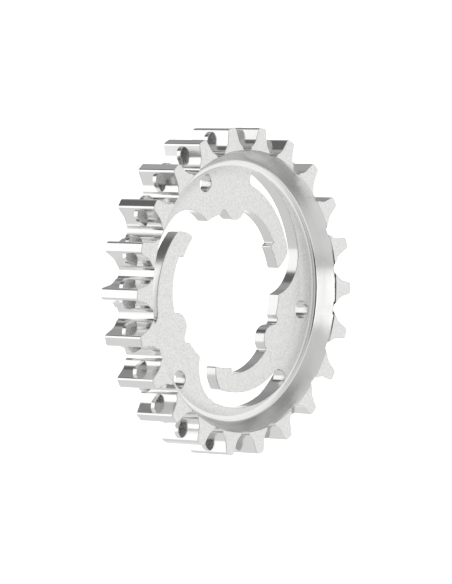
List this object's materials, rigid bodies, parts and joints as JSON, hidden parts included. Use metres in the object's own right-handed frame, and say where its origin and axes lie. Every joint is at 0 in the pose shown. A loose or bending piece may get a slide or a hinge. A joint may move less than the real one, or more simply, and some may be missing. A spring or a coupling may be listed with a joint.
{
  "type": "belt drive sprocket",
  "caption": "One-piece toothed belt sprocket with a centre fin between its teeth and a recessed plate with hooked spring arms that seat on a three-lug hub driver.",
  "frame": {"origin": "centre of the tooth ring's back face, on the sprocket's axis", "axes": "+Z along the sprocket's axis, from the back face to the front face of the tooth ring; the first tooth points close to +X"},
  "size_m": [0.0754, 0.075, 0.0109],
  "materials": {
    "bright_steel": "bright stainless steel: satin faces, polished tooth flanks, turned recess wall"
  },
  "bodies": {
    "root": {"sprocket": "bright_steel"}
  },
  "joints": []
}
